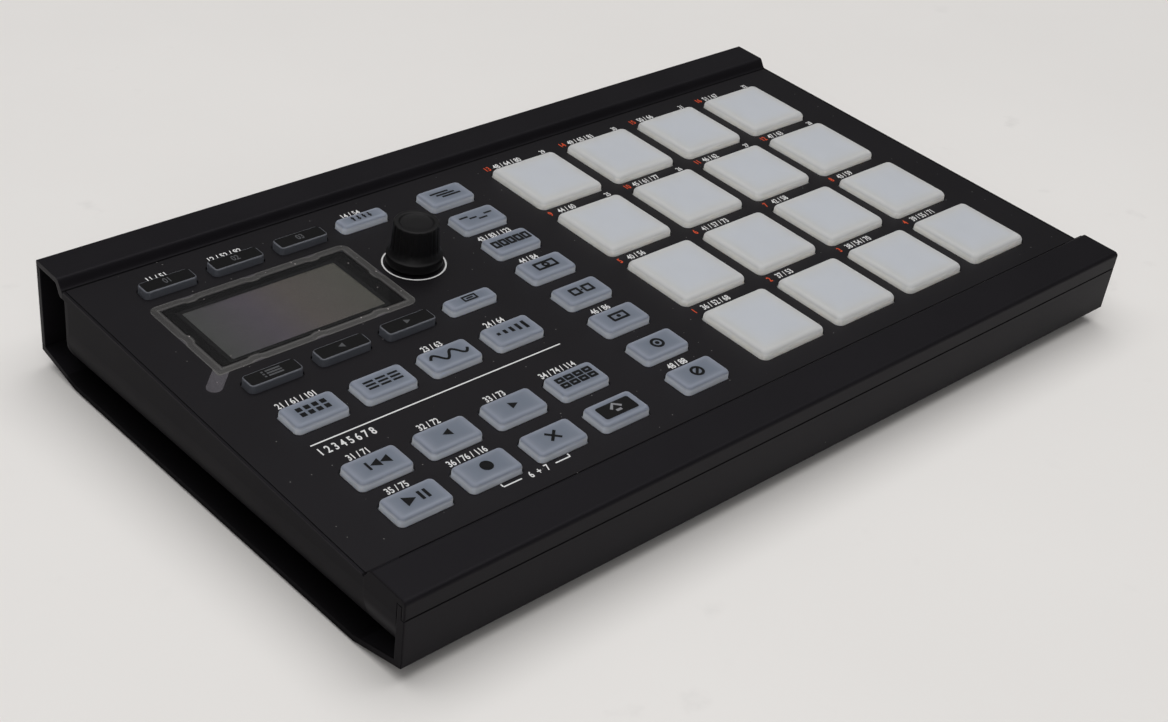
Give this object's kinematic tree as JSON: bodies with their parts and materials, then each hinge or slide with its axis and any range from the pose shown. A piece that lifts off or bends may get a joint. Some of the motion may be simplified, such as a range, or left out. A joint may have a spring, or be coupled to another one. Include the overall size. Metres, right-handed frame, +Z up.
{
  "type": "midi pad controller",
  "caption": "Tilted desktop pad controller: a square grid of soft pads, rows of push keys, a small display and a push-turn knob in a black case.",
  "frame": {"origin": "middle of the bounding box, on the table under the rubber feet", "axes": "+X to the player's right, +Y away from the player, +Z up; the panel is tilted 3.4 degrees towards the player"},
  "size_m": [0.32, 0.1942, 0.05],
  "materials": {
    "faceplate_black": "satin",
    "case_black": "fine satin",
    "lens_clear": "gloss",
    "film_clear": "clear film",
    "lcd_grey": "dim display",
    "board_green": "solder mask",
    "sensor_amber": "film",
    "bright_steel": "plated",
    "switch_white": "moulded",
    "knob_rubber": "matte",
    "foot_rubber": "matte",
    "key_milky": "translucent silicone",
    "key_dark": "black painted top",
    "pad_milky": "translucent silicone"
  },
  "bodies": {
    "case": {"faceplate": "faceplate_black", "top_shell": "case_black", "bottom_shell": "case_black", "rear_panel": "case_black", "display_lens": "lens_clear", "display_film": "film_clear", "lcd_module": "lcd_grey", "main_board": "board_green", "pad_sensor_sheet": "sensor_amber", "encoder_body": "bright_steel", "usb_socket": "bright_steel", "rubber_feet": "foot_rubber", "case_screws": "bright_steel"},
    "plunger": {"encoder_plunger": "switch_white"},
    "knob": {"encoder_shaft": "bright_steel", "encoder_knob": "knob_rubber"},
    "soft_key_1": {"soft_key_1": "key_dark"},
    "soft_key_2": {"soft_key_2": "key_dark"},
    "soft_key_3": {"soft_key_3": "key_dark"},
    "soft_key_4": {"soft_key_4": "key_milky"},
    "menu_key_1": {"menu_key_1": "key_dark"},
    "menu_key_2": {"menu_key_2": "key_dark"},
    "menu_key_3": {"menu_key_3": "key_dark"},
    "menu_key_4": {"menu_key_4": "key_milky"},
    "mode_key_1": {"mode_key_1": "key_milky"},
    "mode_key_2": {"mode_key_2": "key_milky"},
    "mode_key_3": {"mode_key_3": "key_milky"},
    "mode_key_4": {"mode_key_4": "key_milky"},
    "transport_key_1": {"transport_key_1": "key_milky"},
    "transport_key_2": {"transport_key_2": "key_milky"},
    "transport_key_3": {"transport_key_3": "key_milky"},
    "transport_key_4": {"transport_key_4": "key_milky"},
    "transport_key_5": {"transport_key_5": "key_milky"},
    "transport_key_6": {"transport_key_6": "key_milky"},
    "transport_key_7": {"transport_key_7": "key_milky"},
    "transport_key_8": {"transport_key_8": "key_milky"},
    "side_key_1": {"side_key_1": "key_milky"},
    "side_key_2": {"side_key_2": "key_milky"},
    "side_key_3": {"side_key_3": "key_milky"},
    "side_key_4": {"side_key_4": "key_milky"},
    "side_key_5": {"side_key_5": "key_milky"},
    "side_key_6": {"side_key_6": "key_milky"},
    "side_key_7": {"side_key_7": "key_milky"},
    "side_key_8": {"side_key_8": "key_milky"},
    "pad_1": {"pad_1": "pad_milky"},
    "pad_2": {"pad_2": "pad_milky"},
    "pad_3": {"pad_3": "pad_milky"},
    "pad_4": {"pad_4": "pad_milky"},
    "pad_5": {"pad_5": "pad_milky"},
    "pad_6": {"pad_6": "pad_milky"},
    "pad_7": {"pad_7": "pad_milky"},
    "pad_8": {"pad_8": "pad_milky"},
    "pad_9": {"pad_9": "pad_milky"},
    "pad_10": {"pad_10": "pad_milky"},
    "pad_11": {"pad_11": "pad_milky"},
    "pad_12": {"pad_12": "pad_milky"},
    "pad_13": {"pad_13": "pad_milky"},
    "pad_14": {"pad_14": "pad_milky"},
    "pad_15": {"pad_15": "pad_milky"},
    "pad_16": {"pad_16": "pad_milky"}
  },
  "joints": [
    {"name": "soft_key_1_press", "type": "slide", "parent": "case", "child": "soft_key_1", "axis": [0, 0.0593, -0.9982], "range_m": [0, 0.0008], "stiffness_N_per_m": 500, "springref_m": -0.0006},
    {"name": "soft_key_2_press", "type": "slide", "parent": "case", "child": "soft_key_2", "axis": [0, 0.0593, -0.9982], "range_m": [0, 0.0008], "stiffness_N_per_m": 500, "springref_m": -0.0006},
    {"name": "soft_key_3_press", "type": "slide", "parent": "case", "child": "soft_key_3", "axis": [0, 0.0593, -0.9982], "range_m": [0, 0.0008], "stiffness_N_per_m": 500, "springref_m": -0.0006},
    {"name": "soft_key_4_press", "type": "slide", "parent": "case", "child": "soft_key_4", "axis": [0, 0.0593, -0.9982], "range_m": [0, 0.0008], "stiffness_N_per_m": 500, "springref_m": -0.0006},
    {"name": "menu_key_1_press", "type": "slide", "parent": "case", "child": "menu_key_1", "axis": [0, 0.0593, -0.9982], "range_m": [0, 0.0008], "stiffness_N_per_m": 500, "springref_m": -0.0006},
    {"name": "menu_key_2_press", "type": "slide", "parent": "case", "child": "menu_key_2", "axis": [0, 0.0593, -0.9982], "range_m": [0, 0.0008], "stiffness_N_per_m": 500, "springref_m": -0.0006},
    {"name": "menu_key_3_press", "type": "slide", "parent": "case", "child": "menu_key_3", "axis": [0, 0.0593, -0.9982], "range_m": [0, 0.0008], "stiffness_N_per_m": 500, "springref_m": -0.0006},
    {"name": "menu_key_4_press", "type": "slide", "parent": "case", "child": "menu_key_4", "axis": [0, 0.0593, -0.9982], "range_m": [0, 0.0008], "stiffness_N_per_m": 500, "springref_m": -0.0006},
    {"name": "mode_key_1_press", "type": "slide", "parent": "case", "child": "mode_key_1", "axis": [0, 0.0593, -0.9982], "range_m": [0, 0.0008], "stiffness_N_per_m": 500, "springref_m": -0.0006},
    {"name": "mode_key_2_press", "type": "slide", "parent": "case", "child": "mode_key_2", "axis": [0, 0.0593, -0.9982], "range_m": [0, 0.0008], "stiffness_N_per_m": 500, "springref_m": -0.0006},
    {"name": "mode_key_3_press", "type": "slide", "parent": "case", "child": "mode_key_3", "axis": [0, 0.0593, -0.9982], "range_m": [0, 0.0008], "stiffness_N_per_m": 500, "springref_m": -0.0006},
    {"name": "mode_key_4_press", "type": "slide", "parent": "case", "child": "mode_key_4", "axis": [0, 0.0593, -0.9982], "range_m": [0, 0.0008], "stiffness_N_per_m": 500, "springref_m": -0.0006},
    {"name": "transport_key_1_press", "type": "slide", "parent": "case", "child": "transport_key_1", "axis": [0, 0.0593, -0.9982], "range_m": [0, 0.0008], "stiffness_N_per_m": 500, "springref_m": -0.0006},
    {"name": "transport_key_2_press", "type": "slide", "parent": "case", "child": "transport_key_2", "axis": [0, 0.0593, -0.9982], "range_m": [0, 0.0008], "stiffness_N_per_m": 500, "springref_m": -0.0006},
    {"name": "transport_key_3_press", "type": "slide", "parent": "case", "child": "transport_key_3", "axis": [0, 0.0593, -0.9982], "range_m": [0, 0.0008], "stiffness_N_per_m": 500, "springref_m": -0.0006},
    {"name": "transport_key_4_press", "type": "slide", "parent": "case", "child": "transport_key_4", "axis": [0, 0.0593, -0.9982], "range_m": [0, 0.0008], "stiffness_N_per_m": 500, "springref_m": -0.0006},
    {"name": "transport_key_5_press", "type": "slide", "parent": "case", "child": "transport_key_5", "axis": [0, 0.0593, -0.9982], "range_m": [0, 0.0008], "stiffness_N_per_m": 500, "springref_m": -0.0006},
    {"name": "transport_key_6_press", "type": "slide", "parent": "case", "child": "transport_key_6", "axis": [0, 0.0593, -0.9982], "range_m": [0, 0.0008], "stiffness_N_per_m": 500, "springref_m": -0.0006},
    {"name": "transport_key_7_press", "type": "slide", "parent": "case", "child": "transport_key_7", "axis": [0, 0.0593, -0.9982], "range_m": [0, 0.0008], "stiffness_N_per_m": 500, "springref_m": -0.0006},
    {"name": "transport_key_8_press", "type": "slide", "parent": "case", "child": "transport_key_8", "axis": [0, 0.0593, -0.9982], "range_m": [0, 0.0008], "stiffness_N_per_m": 500, "springref_m": -0.0006},
    {"name": "side_key_1_press", "type": "slide", "parent": "case", "child": "side_key_1", "axis": [0, 0.0593, -0.9982], "range_m": [0, 0.0008], "stiffness_N_per_m": 500, "springref_m": -0.0006},
    {"name": "side_key_2_press", "type": "slide", "parent": "case", "child": "side_key_2", "axis": [0, 0.0593, -0.9982], "range_m": [0, 0.0008], "stiffness_N_per_m": 500, "springref_m": -0.0006},
    {"name": "side_key_3_press", "type": "slide", "parent": "case", "child": "side_key_3", "axis": [0, 0.0593, -0.9982], "range_m": [0, 0.0008], "stiffness_N_per_m": 500, "springref_m": -0.0006},
    {"name": "side_key_4_press", "type": "slide", "parent": "case", "child": "side_key_4", "axis": [0, 0.0593, -0.9982], "range_m": [0, 0.0008], "stiffness_N_per_m": 500, "springref_m": -0.0006},
    {"name": "side_key_5_press", "type": "slide", "parent": "case", "child": "side_key_5", "axis": [0, 0.0593, -0.9982], "range_m": [0, 0.0008], "stiffness_N_per_m": 500, "springref_m": -0.0006},
    {"name": "side_key_6_press", "type": "slide", "parent": "case", "child": "side_key_6", "axis": [0, 0.0593, -0.9982], "range_m": [0, 0.0008], "stiffness_N_per_m": 500, "springref_m": -0.0006},
    {"name": "side_key_7_press", "type": "slide", "parent": "case", "child": "side_key_7", "axis": [0, 0.0593, -0.9982], "range_m": [0, 0.0008], "stiffness_N_per_m": 500, "springref_m": -0.0006},
    {"name": "side_key_8_press", "type": "slide", "parent": "case", "child": "side_key_8", "axis": [0, 0.0593, -0.9982], "range_m": [0, 0.0008], "stiffness_N_per_m": 500, "springref_m": -0.0006},
    {"name": "pad_1_press", "type": "slide", "parent": "case", "child": "pad_1", "axis": [0, 0.0593, -0.9982], "range_m": [0, 0.0008], "stiffness_N_per_m": 1500, "springref_m": -0.0006},
    {"name": "pad_2_press", "type": "slide", "parent": "case", "child": "pad_2", "axis": [0, 0.0593, -0.9982], "range_m": [0, 0.0008], "stiffness_N_per_m": 1500, "springref_m": -0.0006},
    {"name": "pad_3_press", "type": "slide", "parent": "case", "child": "pad_3", "axis": [0, 0.0593, -0.9982], "range_m": [0, 0.0008], "stiffness_N_per_m": 1500, "springref_m": -0.0006},
    {"name": "pad_4_press", "type": "slide", "parent": "case", "child": "pad_4", "axis": [0, 0.0593, -0.9982], "range_m": [0, 0.0008], "stiffness_N_per_m": 1500, "springref_m": -0.0006},
    {"name": "pad_5_press", "type": "slide", "parent": "case", "child": "pad_5", "axis": [0, 0.0593, -0.9982], "range_m": [0, 0.0008], "stiffness_N_per_m": 1500, "springref_m": -0.0006},
    {"name": "pad_6_press", "type": "slide", "parent": "case", "child": "pad_6", "axis": [0, 0.0593, -0.9982], "range_m": [0, 0.0008], "stiffness_N_per_m": 1500, "springref_m": -0.0006},
    {"name": "pad_7_press", "type": "slide", "parent": "case", "child": "pad_7", "axis": [0, 0.0593, -0.9982], "range_m": [0, 0.0008], "stiffness_N_per_m": 1500, "springref_m": -0.0006},
    {"name": "pad_8_press", "type": "slide", "parent": "case", "child": "pad_8", "axis": [0, 0.0593, -0.9982], "range_m": [0, 0.0008], "stiffness_N_per_m": 1500, "springref_m": -0.0006},
    {"name": "pad_9_press", "type": "slide", "parent": "case", "child": "pad_9", "axis": [0, 0.0593, -0.9982], "range_m": [0, 0.0008], "stiffness_N_per_m": 1500, "springref_m": -0.0006},
    {"name": "pad_10_press", "type": "slide", "parent": "case", "child": "pad_10", "axis": [0, 0.0593, -0.9982], "range_m": [0, 0.0008], "stiffness_N_per_m": 1500, "springref_m": -0.0006},
    {"name": "pad_11_press", "type": "slide", "parent": "case", "child": "pad_11", "axis": [0, 0.0593, -0.9982], "range_m": [0, 0.0008], "stiffness_N_per_m": 1500, "springref_m": -0.0006},
    {"name": "pad_12_press", "type": "slide", "parent": "case", "child": "pad_12", "axis": [0, 0.0593, -0.9982], "range_m": [0, 0.0008], "stiffness_N_per_m": 1500, "springref_m": -0.0006},
    {"name": "pad_13_press", "type": "slide", "parent": "case", "child": "pad_13", "axis": [0, 0.0593, -0.9982], "range_m": [0, 0.0008], "stiffness_N_per_m": 1500, "springref_m": -0.0006},
    {"name": "pad_14_press", "type": "slide", "parent": "case", "child": "pad_14", "axis": [0, 0.0593, -0.9982], "range_m": [0, 0.0008], "stiffness_N_per_m": 1500, "springref_m": -0.0006},
    {"name": "pad_15_press", "type": "slide", "parent": "case", "child": "pad_15", "axis": [0, 0.0593, -0.9982], "range_m": [0, 0.0008], "stiffness_N_per_m": 1500, "springref_m": -0.0006},
    {"name": "pad_16_press", "type": "slide", "parent": "case", "child": "pad_16", "axis": [0, 0.0593, -0.9982], "range_m": [0, 0.0008], "stiffness_N_per_m": 1500, "springref_m": -0.0006},
    {"name": "encoder_push", "type": "slide", "parent": "case", "child": "plunger", "axis": [0, 0.0593, -0.9982], "range_m": [0, 0.0005], "stiffness_N_per_m": 2500, "springref_m": -0.0006},
    {"name": "encoder_turn", "type": "hinge", "parent": "plunger", "child": "knob", "pos_m": [-0.0564, 0.03454, 0.04167], "axis": [0, -0.0593, 0.9982], "continuous": true}
  ]
}
